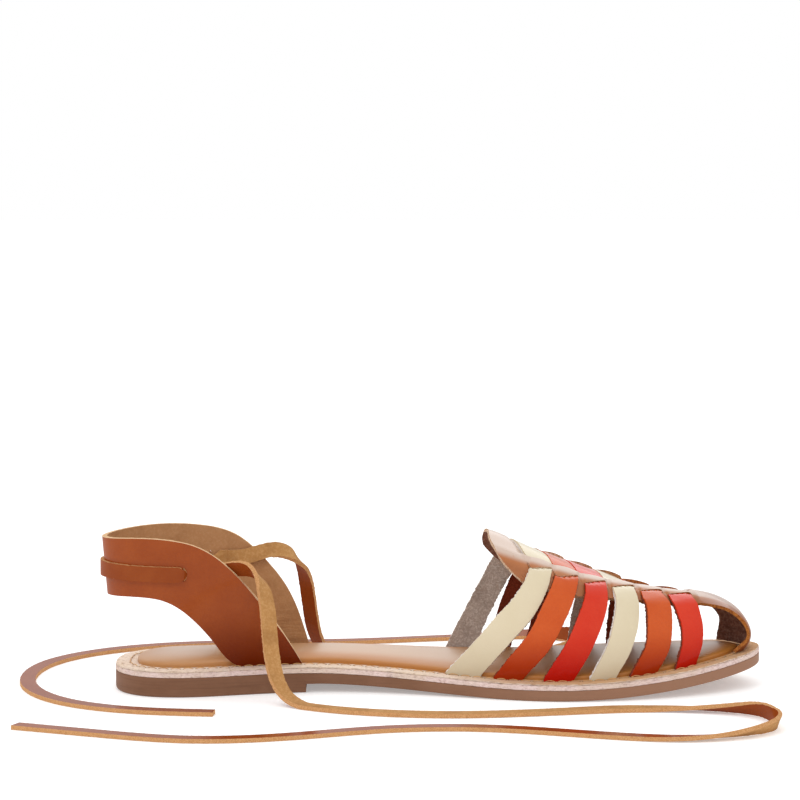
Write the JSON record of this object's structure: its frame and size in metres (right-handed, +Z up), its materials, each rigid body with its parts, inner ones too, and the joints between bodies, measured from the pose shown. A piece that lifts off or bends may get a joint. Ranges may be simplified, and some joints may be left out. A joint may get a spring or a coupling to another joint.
{
  "type": "roman sandal",
  "caption": "Flat leather lace-up sandal for the left foot with a woven vamp of coloured cross straps, an open toe and a heel band that carries a flat lace.",
  "frame": {"origin": "on the floor, under the middle of the sandal's box without its two loose ties", "axes": "+X forward to the toe, +Y to the outer side of the left foot, +Z up"},
  "size_m": [0.292, 0.2222, 0.0613],
  "materials": {
    "outsole": "matte brown",
    "midsole": "raw fibrous edge",
    "insole": "smooth tan, slightly glossy",
    "vamp": "smooth; middle band rose tan, cross straps cream, orange and red",
    "heel_band": "smooth saddle brown, raw inside",
    "lace": "smooth saddle brown face, suede back"
  },
  "bodies": {
    "root": {"outsole": "outsole", "midsole": "midsole", "insole": "insole", "vamp": "vamp", "heel_band": "heel_band", "lace_back": "lace", "tie_inner": "lace", "tie_outer": "lace"}
  },
  "joints": []
}
